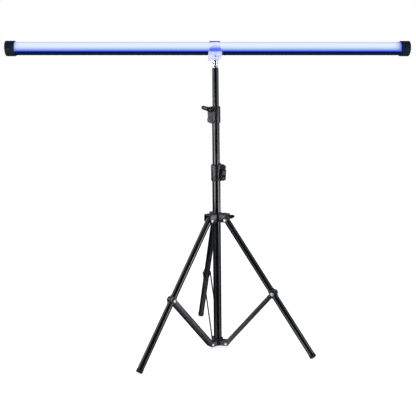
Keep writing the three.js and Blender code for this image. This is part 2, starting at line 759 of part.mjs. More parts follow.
// ---- the whole object ----
const lightTubeOnStand = new THREE.Group();
const stand = group(lightTubeOnStand, MAST_PLACE.x, MAST_PLACE.y, MAST_PLACE.z);
buildMast(stand);
const { lower, middle, top } = MAST_RADII;
buildLock(stand, "lower", LOWER_LOCK, false, lower, middle, LOWER_MAST.top - LOWER_LOCK.place + GAP);
buildLock(stand, "upper", UPPER_LOCK, true, top, middle, UPPER_LOCK.place - MIDDLE_MAST.top - GAP);
buildCollar(stand);
buildHub(stand);
buildLegs(stand);
buildBraces(stand);
const head = group(stand, 0, 0, TUBE_Z);
head.rotation.set(0, -TUBE_TILT, TUBE_PAN, "ZYX");
buildClip(head);
buildLightTube(head);

export default lightTubeOnStand;
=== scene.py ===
"""The finished surfaces of an LED light tube on its folding stand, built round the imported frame.

Shapes are made in millimetres in each sub-part's own frame, then placed in the frame's metres."""

import functools
import json
import math

import bmesh
import bpy
from mathutils import Matrix, Vector


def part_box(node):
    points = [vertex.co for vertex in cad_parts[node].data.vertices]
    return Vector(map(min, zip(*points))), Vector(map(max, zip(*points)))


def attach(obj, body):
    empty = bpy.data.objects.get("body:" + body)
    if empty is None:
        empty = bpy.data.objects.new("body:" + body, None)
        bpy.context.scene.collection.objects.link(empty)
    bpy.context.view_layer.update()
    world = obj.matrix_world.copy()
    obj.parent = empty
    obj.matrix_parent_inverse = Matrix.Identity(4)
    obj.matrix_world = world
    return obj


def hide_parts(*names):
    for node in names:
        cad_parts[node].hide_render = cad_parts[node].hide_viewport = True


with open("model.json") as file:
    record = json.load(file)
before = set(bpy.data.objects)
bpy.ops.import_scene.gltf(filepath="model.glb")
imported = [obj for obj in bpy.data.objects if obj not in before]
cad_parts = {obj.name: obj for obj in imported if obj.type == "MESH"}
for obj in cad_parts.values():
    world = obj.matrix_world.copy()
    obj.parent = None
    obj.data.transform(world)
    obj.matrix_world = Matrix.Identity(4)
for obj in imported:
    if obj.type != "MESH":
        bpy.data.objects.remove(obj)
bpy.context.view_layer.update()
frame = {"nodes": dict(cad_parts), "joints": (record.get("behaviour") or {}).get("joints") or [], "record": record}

JOINTS = {joint["name"]: joint for joint in frame["joints"]}
BODY_OF = {node: body for body, nodes in frame["record"]["behaviour"]["bodies"].items() for node in nodes}
MM = 0.001
MM_PER_METRE = 1000
TO_METRES = Matrix.Scale(MM, 4)
UP = Vector((0, 0, 1))
SIDES = ("rear", "left", "right")

# ---- sizes in millimetres, the same as the frame's ----
GAP = 0.3
WALL = 1.2
LOWER_MAST = {"radius": 12.5, "low": 13.5, "high": 560}
MIDDLE_MAST = {"radius": 11, "low": 205, "high": 733}
TOP_MAST = {"radius": 9.5, "low": 335, "high": 855.1}
LEG = {"radius": 9.5, "top": 7, "end": 475.7, "foot": 486}
PIVOT_RADIUS = 30.6
LEG_PIVOT_Z = 407.7
CLAMP_HALF = 13
BRACE_LENGTH = 225.8
BAR = {"inner": 11, "outer": 13, "half_width": 7}
PIN = 3
RIVET_HEAD = {"radius": 5.2, "height": 1.8}
LOCK_HUB_Z = 9.7
LOCK_HALF = 11
LOCK_TIP_HALF = 6.5
LOCK_BOSS = 6.8
LOCK_BOLT_HOLE = 2.8
EAR_REACH = 27.3  # the reach at which the ears' outline is drawn
LEVER = {"length": 27.4, "hub": 7.2, "tip": 5.8, "thickness": 7.5}
LEVER_FRONT = -LOCK_HALF - LEVER["thickness"]
DISH = {"radius": 5.2, "depth": 2.6, "low": 8.4, "high": 24.4}
PAD = {"thickness": 0.7, "sunk": 0.9, "rooted": 0.02}
LOCKS = {
    "lower": {
        "height": 50, "radius": 15.6, "reach": 29.3, "fin": 5, "hub_x": 21.3, "lever": 83,
        "bolt_bore": LOWER_MAST["radius"], "end_bore": MIDDLE_MAST["radius"], "step": 36.3,
    },
    "upper": {
        "height": 49.3, "radius": 13.75, "reach": 25.5, "fin": 1.5, "hub_x": 15.6, "lever": -17,
        "bolt_bore": TOP_MAST["radius"], "end_bore": MIDDLE_MAST["radius"], "step": 12.0,
    },
}
FORK = {"half": 15.5, "slot": 10, "slot_start": 18.3, "web": 3.2, "top": 426, "bottom": 400.7, "core": 21}
KNOB_Z = 407
KNOB_FLUTE = {"count": 6, "radius": 2.0, "offset": 7.7, "low": 41, "high": 90}
FLUTE_TURN = 5.6  # keeps the flutes off the corners of the knob's own facets
BORE_TURN = 1.3  # keeps a bore's corners off those of the facets round it
WELD = 0.001  # points closer than this are joined
SLIVER = 0.0005  # edges shorter than this are taken out
HUB = {"radius": 16.5, "top": 31.3, "lug_half": 10.7, "lug_end": 8, "floor": 4}
TUBE = {"radius": 19, "shell": 1.4, "half": 583, "seam": math.radians(29)}
CAP = {"radius": 21.8, "length": 27.5, "wall": 4, "screw": 9.5}
BODY_HALF = TUBE["half"] - CAP["wall"] - GAP
STRAP = {"inner": 19.35, "outer": 21.35, "half": 15.5, "middle": -1.5}
CLIP_OUTER = 24.3
CLIP_BOLT_Z = -22.6
CLIP_BOLT_HOLE = 1.8
CAP_SCREW = {"shank_hole": 1.8, "head_hole": 3.3, "sunk": 1.6}
SPIGOT = 8
STUD = 3.1
BUTTON = {"y": 6, "z": -8.5, "radius": 3.3, "flange": 4.6, "proud": 0.9}
INLET = {"y": -4, "z": -11, "half_width": 4.5, "half_height": 1.65}

# ---- the camera, its lens in millimetres, and the reflector panels, both placed in metres ----
CAMERA = {"at": (-0.0073, -2.0336, 0.7964), "lens": 57.83, "sensor": 36, "down": 0.1768, "roll": -0.0116}
PANEL_DISTANCE = 2.6


def put(name, data):
    """Adds an object with that data to the scene."""
    obj = bpy.data.objects.new(name, data)
    bpy.context.scene.collection.objects.link(obj)
    return obj


# ---- camera ----
def make_camera():
    """At the eye of a person in front of the stand."""
    data = bpy.data.cameras.new("camera")
    data.lens = CAMERA["lens"]
    data.sensor_width = CAMERA["sensor"]
    pitch, roll = CAMERA["down"], CAMERA["roll"]
    forward = Vector((0, math.cos(pitch), -math.sin(pitch)))
    right = Vector((1, 0, 0))
    up = right.cross(forward)
    rolled_right = math.cos(roll) * right + math.sin(roll) * up
    rolled_up = rolled_right.cross(forward)
    turn = Matrix((rolled_right, rolled_up, -forward)).transposed().to_4x4()
    camera = put("camera", data)
    camera.matrix_world = Matrix.Translation(CAMERA["at"]) @ turn
    bpy.context.scene.camera = camera


# ---- places ----
def joint_place(name):
    return Vector(JOINTS[name]["pos_m"])


def joint_axis(name):
    return Vector(JOINTS[name]["axis"]).normalized()


def centre(node):
    low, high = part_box(node)
    return (low + high) / 2


def azimuth_of(joint):
    """The direction from the mast to a pivot, in degrees from X. Its axis runs across that direction."""
    axis = joint_axis(joint)
    return math.degrees(math.atan2(-axis.x, axis.y))


def offset(x=0.0, y=0.0, z=0.0):
    """A move given in millimetres."""
    return Matrix.Translation((x * MM, y * MM, z * MM))


def place(origin, y, z):
    """The frame at origin whose Z points along z and whose Y is nearest y."""
    z = Vector(z).normalized()
    x = Vector(y).cross(z).normalized()
    made = Matrix((x, z.cross(x), z)).transposed().to_4x4()
    made.translation = origin
    return made


MAST = Matrix.Translation((joint_place("head_pan").x, joint_place("head_pan").y, 0))


def pivot_place(joint):
    """Upright at the mast's axis, with X towards the joint's pivot."""
    return place(MAST.translation, joint_axis(joint), UP)


def leg_place(side):
    pivot = joint_place("leg_fold_" + side)
    return place(pivot, joint_axis("leg_fold_" + side), pivot - centre("clamp_pin_" + side))


def brace_place(side):
    pivot = joint_place("brace_fold_" + side)
    return place(pivot, joint_axis("brace_fold_" + side), centre("clamp_pin_" + side) - pivot)


def head_place():
    """At the light tube's axis over the mast, with X along the tube."""
    x = joint_axis("tube_roll")
    y = UP.cross(x).normalized()
    return place(joint_place("tube_roll"), y, x.cross(y))


def tube_place():
    made = head_place()
    made.translation = (centre("left_end_cap") + centre("right_end_cap")) / 2
    return made


def end_place(side):
    """At one end of the tube, with Z inwards along it and X up."""
    tube = tube_place()
    sign = -1 if side == "left" else 1
    inward = -sign * (tube.to_3x3() @ Vector((1, 0, 0)))
    up = tube.to_3x3() @ UP
    return place(tube @ Vector((sign * TUBE["half"] * MM, 0, 0)), inward.cross(up), inward)


# ---- shapes ----
def arc(radius, start, end, steps, cx=0.0, cy=0.0):
    """Points on an arc, its angles in degrees."""
    angles = [math.radians(start + (end - start) * i / steps) for i in range(steps + 1)]
    return [(cx + radius * math.cos(a), cy + radius * math.sin(a)) for a in angles]


def rounded(points, radius, steps=4):
    """The outline with its corners rounded off."""
    made = []
    for i, corner in enumerate(points):
        p = Vector(corner)
        before, after = Vector(points[i - 1]), Vector(points[(i + 1) % len(points)])
        a = p + (before - p).normalized() * min(radius, 0.45 * (before - p).length)
        b = p + (after - p).normalized() * min(radius, 0.45 * (after - p).length)
        for k in range(steps + 1):
            t = k / steps
            made.append(tuple((1 - t) ** 2 * a + 2 * t * (1 - t) * p + t * t * b))
    return made


def lathe(profile, sides=64):
    """A body of revolution about Z. The (radius, z) points run from axis to axis, or round a ring."""
    made = bmesh.new()
    turns = [2 * math.pi * i / sides for i in range(sides)]
    rings = []
    for radius, z in profile:
        if radius < 1e-6:
            rings.append([made.verts.new((0, 0, z))] * sides)
        else:
            rings.append([made.verts.new((radius * math.cos(a), radius * math.sin(a), z)) for a in turns])
    if profile[0][0] > 1e-6:
        rings.append(rings[0])
    for low, high in zip(rings, rings[1:]):
        for i in range(sides):
            k = (i + 1) % sides
            corners = list(dict.fromkeys((low[i], low[k], high[k], high[i])))
            if len(corners) > 2:
                made.faces.new(corners)
    return tidy(made)


def tidy(made):
    bmesh.ops.recalc_face_normals(made, faces=made.faces)
    return made


def prism(outline, low, high, bevel=0.0, along="y", segments=3):
    """An outline of (x, z) points carried along Y, or of (y, z) points carried along X."""
    made = bmesh.new()

    def corner(point, depth):
        u, v = point
        return made.verts.new((u, depth, v) if along == "y" else (depth, u, v))

    near = [corner(p, low) for p in outline]
    far = [corner(p, high) for p in outline]
    made.faces.new(near)
    made.faces.new(far)
    for i in range(len(outline)):
        k = (i + 1) % len(outline)
        made.faces.new((near[i], near[k], far[k], far[i]))
    tidy(made)
    if bevel:
        soften(made, bevel, segments)
    return made


def box(x0, x1, y0, y1, z0, z1):
    return prism([(x0, z0), (x1, z0), (x1, z1), (x0, z1)], y0, y1)


def soften(made, width, segments=3, angle=35):
    """Rounds every edge that is sharper than the angle."""
    edges = [e for e in made.edges if e.calc_face_angle(0) > math.radians(angle)]
    bmesh.ops.bevel(
        made, geom=edges, offset=width, segments=segments, profile=0.5, affect="EDGES", clamp_overlap=True
    )


def moved(made, matrix):
    made.transform(matrix)
    return made


def shifted(made, x=0.0, y=0.0, z=0.0):
    return moved(made, Matrix.Translation((x, y, z)))


def turned(made, degrees, axis="Z"):
    return moved(made, Matrix.Rotation(math.radians(degrees), 4, axis))


def rod(radius, low, high, along="z", sides=48, edge=0.0):
    """A cylinder along Z, Y or X, with a chamfer at each end where it has an edge."""
    if edge:
        side = [(radius - edge, low), (radius, low + edge), (radius, high - edge), (radius - edge, high)]
    else:
        side = [(radius, low), (radius, high)]
    made = lathe([(0, low), *side, (0, high)], sides)
    if along == "y":
        turned(made, -90, "X")
    if along == "x":
        turned(made, 90, "Y")
    return made


def pin_hole(half):
    """The hole for a rivet or pin along Y."""
    return rod(PIN + GAP, -half, half, "y", 32)


def mesh_of(made, name):
    mesh = bpy.data.meshes.new(name)
    made.to_mesh(mesh)
    made.free()
    return mesh


def boolean(operation, base, *tools):
    """The base joined with, cut by or kept inside the tools. It uses them all up."""
    subject, *others = [put("shape", mesh_of(made, "shape")) for made in (base, *tools)]
    for other in others:
        step = subject.modifiers.new("step", "BOOLEAN")
        step.operation = operation
        step.solver = "EXACT"
        step.object = other
    shown = subject.evaluated_get(bpy.context.evaluated_depsgraph_get())
    made = bmesh.new()
    made.from_mesh(shown.to_mesh())
    shown.to_mesh_clear()
    for obj in [subject, *others]:
        mesh = obj.data
        bpy.data.objects.remove(obj)
        bpy.data.meshes.remove(mesh)
    return made


join = functools.partial(boolean, "UNION")
cut = functools.partial(boolean, "DIFFERENCE")
common = functools.partial(boolean, "INTERSECT")


def add(made, name, where, look, body, sharp=35):
    """Adds a piece that rides on a body and has a material slot."""
    bmesh.ops.remove_doubles(made, verts=made.verts, dist=WELD)
    bmesh.ops.dissolve_degenerate(made, edges=made.edges, dist=SLIVER)
    tidy(made)
    for face in made.faces:
        face.smooth = True
    for edge in made.edges:
        edge.smooth = edge.calc_face_angle(0) < math.radians(sharp)
    mesh = mesh_of(made, name)
    mesh.transform(where @ TO_METRES)
    mesh.materials.append(look)
    piece = put(name, mesh)
    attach(piece, body)
    return piece


def build(made, where, look, *nodes, sharp=35):
    """Adds a piece that stands for CAD nodes, on the first one's body and with its slot."""
    piece = add(made, nodes[0] + "_detailed", where, look, BODY_OF[nodes[0]], sharp)
    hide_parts(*nodes)
    return piece


# ---- materials ----
class Look:
    """A node material round one Principled shader, with its patterns in the object's own metres."""

    def __init__(self, name, **values):
        self.material = bpy.data.materials.new(name)
        self.material.use_nodes = True
        self.nodes = self.material.node_tree.nodes
        self.links = self.material.node_tree.links
        self.shader = self.nodes["Principled BSDF"]
        self.coordinates = self.nodes.new("ShaderNodeTexCoord").outputs["Object"]
        for socket, value in values.items():
            self.shader.inputs[socket.replace("_", " ")].default_value = value

    def node(self, kind, **values):
        made = self.nodes.new(kind)
        for key, value in values.items():
            if key in made.inputs:
                made.inputs[key].default_value = value
            else:
                setattr(made, key, value)
        return made

    def link(self, source, target):
        self.links.new(source, target)
        return target

    def stretched(self, scale):
        """The coordinates with a scale for each axis, for a grain that runs one way."""
        mapping = self.node("ShaderNodeMapping", Scale=scale)
        self.link(self.coordinates, mapping.inputs["Vector"])
        return mapping.outputs["Vector"]

    def noise(self, scale, detail=3.0, roughness=0.5, vector=None):
        made = self.node("ShaderNodeTexNoise", Scale=scale, Detail=detail, Roughness=roughness)
        self.link(vector or self.coordinates, made.inputs["Vector"])
        return made.outputs["Fac"]

    def ramp(self, factor, stops):
        """Colours, or grey numbers, along a factor from 0 to 1."""
        made = self.node("ShaderNodeValToRGB")
        elements = made.color_ramp.elements
        while len(elements) < len(stops):
            elements.new(0.5)
        for element, (position, colour) in zip(elements, stops):
            element.position = position
            grey = isinstance(colour, (int, float))
            element.color = (colour, colour, colour, 1) if grey else (*colour[:3], 1)
        self.link(factor, made.inputs["Fac"])
        return made.outputs["Color"]

    def feed(self, socket, value):
        """Links another socket to this one, or sets its number or colour."""
        if isinstance(value, bpy.types.NodeSocket):
            self.link(value, socket)
        elif isinstance(value, tuple):
            socket.default_value = (*value, 1)
        else:
            socket.default_value = value

    def mix(self, factor, a, b):
        made = self.node("ShaderNodeMix", data_type="RGBA")
        self.link(factor, made.inputs["Factor"])
        self.feed(made.inputs[6], a)
        self.feed(made.inputs[7], b)
        return made.outputs[2]

    def math(self, operation, a, b):
        made = self.node("ShaderNodeMath", operation=operation)
        self.feed(made.inputs[0], a)
        self.feed(made.inputs[1], b)
        return made.outputs[0]

    def along(self, origin, direction, low, high):
        """From 0 to 1 as a point goes from low to high along a direction."""
        away = self.node("ShaderNodeVectorMath", operation="SUBTRACT")
        self.link(self.coordinates, away.inputs[0])
        away.inputs[1].default_value = origin
        dot = self.node("ShaderNodeVectorMath", operation="DOT_PRODUCT")
        self.link(away.outputs[0], dot.inputs[0])
        dot.inputs[1].default_value = direction
        span = self.node("ShaderNodeMapRange", **{"From Min": low, "From Max": high})
        self.link(dot.outputs["Value"], span.inputs["Value"])
        return span.outputs["Result"]

    def colour(self, source):
        self.link(source, self.shader.inputs["Base Color"])

    def glow(self, source):
        self.link(source, self.shader.inputs["Emission Color"])
        self.shader.inputs["Emission Strength"].default_value = 1.0

    def roughness(self, factor, low, high):
        self.link(self.ramp(factor, ((0.3, low), (0.7, high))), self.shader.inputs["Roughness"])

    def bump(self, height, depth, strength=1.0):
        """Relief of that depth in metres."""
        made = self.node("ShaderNodeBump", Strength=strength, Distance=depth)
        self.link(height, made.inputs["Height"])
        before = self.shader.inputs["Normal"]
        if before.is_linked:
            self.link(before.links[0].from_socket, made.inputs["Normal"])
        self.link(made.outputs["Normal"], before)


def worn_edges(look, base, worn, low=0.53, high=0.62):
    """The base colour, with the worn one along outer edges, broken up by a fine noise."""
    pointiness = look.node("ShaderNodeNewGeometry").outputs["Pointiness"]
    edge = look.ramp(pointiness, ((low, 0.0), (high, 1.0)))
    broken = look.ramp(look.noise(900, 4), ((0.42, 0.0), (0.6, 1.0)))
    return look.mix(look.math("MULTIPLY", edge, broken), base, worn)


def tube_paint():
    """Gloss black powder coat, with faint smudges and lengthwise rubbing."""
    look = Look("tube_paint", Coat_Weight=0.35, Coat_Roughness=0.07)
    cloudy = look.noise(14, 4)
    base = look.ramp(cloudy, ((0.35, (0.0035, 0.004, 0.0055)), (0.7, (0.006, 0.0065, 0.0085))))
    look.colour(worn_edges(look, base, (0.12, 0.12, 0.125), 0.6, 0.75))
    rubbed = look.math("MULTIPLY", look.noise(1, 5, 0.6, look.stretched((420, 420, 9))), 0.6)
    smudged = look.math("MULTIPLY", cloudy, 0.4)
    look.roughness(look.math("ADD", rubbed, smudged), 0.14, 0.27)
    look.bump(look.noise(500, 2), 0.000003)
    return look.material


def brace_paint():
    """Satin black paint on flat steel."""
    look = Look("brace_paint")
    cloudy = look.noise(40, 5)
    base = look.ramp(cloudy, ((0.35, (0.009, 0.0095, 0.011)), (0.7, (0.016, 0.0165, 0.019))))
    look.colour(worn_edges(look, base, (0.2, 0.2, 0.21)))
    look.roughness(cloudy, 0.3, 0.46)
    look.bump(look.noise(2200, 3), 0.00002)
    return look.material


def moulded_plastic(name, dark, light, rough=(0.32, 0.42), gloss=0.8):
    """Black plastic with a fine spark-eroded grain, worn lighter along its outer edges."""
    look = Look(name, Specular_IOR_Level=gloss)
    cloudy = look.noise(55, 4)
    base = look.ramp(cloudy, ((0.3, dark), (0.72, light)))
    look.colour(worn_edges(look, base, tuple(3 * c for c in light)))
    look.roughness(cloudy, *rough)
    look.bump(look.noise(3200, 3, 0.6), 0.00002, 0.8)
    return look.material


def rubber():
    """Matt black rubber, dusty towards the floor."""
    look = Look("rubber", Specular_IOR_Level=0.35)
    cloudy = look.noise(140, 5, 0.6)
    base = look.ramp(cloudy, ((0.35, (0.011, 0.011, 0.012)), (0.75, (0.024, 0.0235, 0.023))))
    dust = look.along((0, 0, 0), (0, 0, 1), 0.009, 0.0)
    dusty = look.math("MULTIPLY", dust, look.ramp(look.noise(420, 5), ((0.35, 0.0), (0.7, 0.55))))
    look.colour(look.mix(dusty, base, (0.1, 0.095, 0.088)))
    look.roughness(cloudy, 0.62, 0.88)
    look.bump(look.noise(1900, 4), 0.00006)
    return look.material


def metal(name, dark, light, rough, depth=0.000006, metallic=1.0):
    """Bare or plated metal with a fine grain."""
    look = Look(name, Metallic=metallic)
    grain = 900
    look.colour(look.ramp(look.noise(120, 4), ((0.3, dark), (0.7, light))))
    look.roughness(look.noise(grain, 4), *rough)
    look.bump(look.noise(grain * 2, 2), depth)
    return look.material


def clear_plastic():
    """Polished clear polycarbonate, with painted light along its crest over the lit tube: there it is made opaque,
    painted dark blue and given a painted blue glow.
    """
    look = Look("clear_plastic", IOR=1.49)
    flow = look.noise(1, 3, 0.5, look.stretched((60, 150, 150)))
    clear = look.ramp(flow, ((0.3, (0.9, 0.92, 1.0)), (0.7, (0.95, 0.96, 1.0))))
    origin, up, _ = tube_axes()
    # painted light: the tube's blue light painted along the crest as a glow and a dark blue base, with
    # transmission taken away there
    painted_glow_crest = look.along(origin, up, 0.0165, 0.0192)
    look.glow(look.ramp(painted_glow_crest, ((0.0, (0, 0, 0)), (1.0, (0.0, 0.012, 0.42)))))
    look.link(look.ramp(painted_glow_crest, ((0.0, 1.0), (1.0, 0.0))), look.shader.inputs["Transmission Weight"])
    look.colour(look.mix(painted_glow_crest, clear, (0.0, 0.005, 0.06)))
    look.roughness(look.noise(80, 4), 0.01, 0.04)
    look.bump(flow, 0.00001)
    return look.material


def milky_plastic():
    """The saddle's thicker plastic: a lavender haze, with painted light: painted blue where it crosses the lit
    tube, a painted glow that changes with height, and painted shade on one flank.
    """
    look = Look("milky_plastic", Transmission_Weight=0.35, IOR=1.49)
    origin, up, along = tube_axes()
    height = look.along(origin, up, -0.013, 0.006)
    flecks = look.ramp(look.noise(420, 3, 0.6), ((0.36, (0.32, 0.3, 0.5)), (0.5, (0.84, 0.82, 0.95))))
    # painted light: the flecked haze turns painted blue above the middle of the tube
    cheek = look.mix(look.ramp(height, ((0.2, 0.0), (0.34, 1.0))), flecks, (0.12, 0.2, 0.85))
    # painted glow, set by height: the tube's light painted into the saddle
    stops = (
        (0.0, (0.18, 0.2, 0.28)), (0.12, (0.1, 0.1, 0.2)), (0.2, (0.0, 0.01, 0.02)),
        (0.36, (0.0, 0.03, 0.18)), (0.5, (0.02, 0.09, 0.62)), (0.6, (0.04, 0.1, 0.65)),
        (0.68, (0.11, 0.13, 0.55)), (0.8, (0.3, 0.36, 0.72)), (1.0, (0.38, 0.4, 0.8)),
    )
    glow = look.ramp(height, stops)
    # painted shade: one flank darker, with a dimmer painted glow
    painted_shade_flank = look.along(head_place().translation, along, 0.018, 0.0195)
    look.colour(look.mix(painted_shade_flank, cheek, (0.08, 0.1, 0.25)))
    look.glow(look.mix(painted_shade_flank, glow, (0.03, 0.04, 0.14)))
    look.roughness(look.noise(80, 4), 0.12, 0.25)
    look.bump(look.noise(500, 3), 0.00005)
    return look.material


def tube_axes():
    made = tube_place()
    return made.translation, made.to_3x3() @ UP, made.to_3x3() @ Vector((1, 0, 0))


def housing_finish():
    """Navy anodised extrusion with lengthwise die lines, and the seam's blue light painted on its edge as a glow.
    """
    look = Look("housing_finish", Specular_IOR_Level=0.06)
    origin, up, _ = tube_axes()
    lines = look.noise(1, 3, 0.6, look.stretched((3, 1500, 1500)))
    base = look.ramp(lines, ((0.3, (0.0, 0.006, 0.043)), (0.7, (0.001, 0.009, 0.056))))
    look.colour(worn_edges(look, base, (0.02, 0.04, 0.12), 0.6, 0.75))
    look.roughness(lines, 0.3, 0.44)
    look.bump(lines, 0.000003)
    # painted glow: the seam's blue light painted on the housing's edge near the seam
    seam = look.along(origin, up, -0.0125, -0.0088)
    look.glow(look.ramp(seam, ((0.0, (0, 0, 0)), (1.0, (0.0, 0.012, 0.09)))))
    return look.material


def lit_opal():
    """Opal polycarbonate, lit from inside: nearly white over the LEDs, blue by the seams and caps."""
    look = Look("lit_opal", Specular_IOR_Level=0.12)
    origin, up, along = tube_axes()
    radius, half, blue = TUBE["radius"] * MM, TUBE["half"] * MM, (0.06, 0.18, 0.82)
    height = look.along(origin, up, -0.5 * radius, radius)
    stops = (
        (0.0, (0.0, 0.015, 0.12)), (0.04, (0.0, 0.03, 0.25)), (0.065, (0.06, 0.19, 0.88)),
        (0.18, (0.22, 0.35, 0.97)), (0.28, (0.47, 0.54, 1.0)), (0.38, (0.67, 0.7, 1.0)),
        (0.48, (0.74, 0.81, 0.95)), (0.58, (0.76, 0.86, 1.0)), (0.78, (0.78, 0.89, 1.0)),
        (0.87, (0.62, 0.67, 0.92)),
    )
    glow = look.ramp(height, stops)
    right_end = look.along(origin, along, 0.0, half)
    near_right_cap = look.ramp(right_end, ((0.92, 0.0), (0.938, 0.35), (0.953, 1.0)))
    left_end = look.along(origin, -along, 0.0, half)
    near_left_cap = look.ramp(left_end, ((0.93, 0.0), (0.947, 0.3), (0.954, 0.8)))
    look.colour(look.ramp(look.noise(30, 3), ((0.3, (0.004, 0.005, 0.01)), (0.7, (0.006, 0.007, 0.012)))))
    look.glow(look.mix(near_right_cap, look.mix(near_left_cap, glow, blue), blue))
    look.roughness(look.noise(200, 4), 0.32, 0.42)
    look.bump(look.noise(2500, 2), 0.00001)
    return look.material


def board(name, dark, light):
    """Solder mask with faint tracks under it."""
    look = Look(name)
    tracks = look.ramp(look.noise(1, 1, 0.5, look.stretched((120, 900, 900))), ((0.48, 0.0), (0.52, 1.0)))
    look.colour(look.mix(tracks, dark, light))
    look.roughness(look.noise(300, 3), 0.3, 0.45)
    look.bump(tracks, 0.00003)
    return look.material


def cell_wrap():
    """Blue shrink sleeve, creased at the joints between the cells."""
    look = Look("cell_wrap")
    crease = look.node("ShaderNodeTexWave", bands_direction="X", Scale=4.8, Distortion=1.0)
    look.link(look.coordinates, crease.inputs["Vector"])
    joints = look.ramp(crease.outputs["Fac"], ((0.9, 0.0), (1.0, 1.0)))
    look.colour(look.mix(joints, (0.03, 0.07, 0.2), (0.015, 0.03, 0.1)))
    look.roughness(look.noise(90, 4), 0.22, 0.4)
    look.bump(joints, 0.0002)
    return look.material


def thumb_pad_plastic():
    """Grey plastic for the pads in the levers' thumb dishes, which makes the dishes lighter than the levers round
    them.
    """
    look = Look("thumb_pad_plastic", Specular_IOR_Level=0.4)
    cloudy = look.noise(70, 4)
    look.colour(look.ramp(cloudy, ((0.3, (0.13, 0.13, 0.145)), (0.72, (0.17, 0.17, 0.19)))))
    look.roughness(cloudy, 0.5, 0.65)
    look.bump(look.noise(3600, 3), 0.00003)
    return look.material


PAINT = tube_paint()
BRACE_PAINT = brace_paint()
PLASTIC = moulded_plastic("moulded_plastic", (0.004, 0.0045, 0.0055), (0.008, 0.0085, 0.0105))
COLLAR_PLASTIC = moulded_plastic(
    "collar_plastic", (0.004, 0.006, 0.009), (0.007, 0.01, 0.014), rough=(0.2, 0.28), gloss=0.5
)
GRIP_PLASTIC = moulded_plastic(
    "grip_plastic", (0.002, 0.0025, 0.003), (0.004, 0.0045, 0.005), rough=(0.5, 0.6), gloss=0.2
)
CAP_PLASTIC = moulded_plastic(
    "cap_plastic", (0.003, 0.008, 0.026), (0.006, 0.013, 0.038), rough=(0.45, 0.6), gloss=0.22
)
RUBBER = rubber()
THUMB_PAD = thumb_pad_plastic()
CHROME = metal("chrome", (0.78, 0.79, 0.83), (0.86, 0.87, 0.9), (0.02, 0.05), depth=0.0000008)
DULL_ZINC = metal("dull_zinc", (0.16, 0.17, 0.185), (0.22, 0.235, 0.25), (0.3, 0.45))
STEEL = metal("zinc_plated_steel", (0.5, 0.51, 0.54), (0.62, 0.63, 0.66), (0.26, 0.42))
RIVET_PLATE = metal("rivet_plate", (0.6, 0.66, 0.7), (0.7, 0.75, 0.78), (0.25, 0.35), metallic=0.45)
NICKEL = metal("satin_nickel", (0.66, 0.66, 0.8), (0.74, 0.74, 0.86), (0.25, 0.35), metallic=0.15)
BRASS = metal("turned_brass", (0.55, 0.4, 0.16), (0.68, 0.51, 0.24), (0.22, 0.36))
CLEAR = clear_plastic()
MILKY = milky_plastic()
HOUSING = housing_finish()
OPAL = lit_opal()
LED_BOARD = board("white_solder_mask", (0.72, 0.72, 0.68), (0.8, 0.8, 0.77))
CONTROL_BOARD = board("green_solder_mask", (0.02, 0.12, 0.05), (0.035, 0.19, 0.08))
CELLS = cell_wrap()


# ---- mast ----
def steel_tube(radius, low, high):
    """A tube with its rims broken inside and out."""
    bore, rim = radius - WALL, 0.35
    profile = [
        (bore, low + rim), (bore + rim, low), (radius - rim, low), (radius, low + rim),
        (radius, high - rim), (radius - rim, high), (bore + rim, high), (bore, high - rim),
    ]
    return lathe(profile)


def spigot():
    """A turned spigot with a groove at its foot, a waist for a clamping screw, and a stud on top."""
    r, z = SPIGOT, TOP_MAST["high"]
    profile = [
        (0, z - 28), (r - 0.4, z - 28), (r, z - 27.6), (r, z + 0.3),
        (6.4, z + 1.9), (6.4, z + 2.3), (r, z + 2.9), (r, z + 6.6),
        *arc(2.0, 90, 150, 5, r - 0.3, z + 5.1),
        (6, z + 8.8), (6, z + 11.6), (6.2, z + 12.2), (7.7, z + 13.4), (r, z + 13.9),
        (r, z + 23.6), (7.4, z + 24.6), (6.8, z + 24.9), (STUD, z + 24.9),
        (STUD, z + 29.1), (STUD - 0.5, z + 29.6), (0, z + 29.6),
    ]
    return lathe(profile, 72)


def build_mast():
    for section, tube in (("lower", LOWER_MAST), ("middle", MIDDLE_MAST), ("top", TOP_MAST)):
        build(steel_tube(**tube), MAST, PAINT, section + "_mast_tube")
    build(spigot(), MAST, CHROME, "spigot")


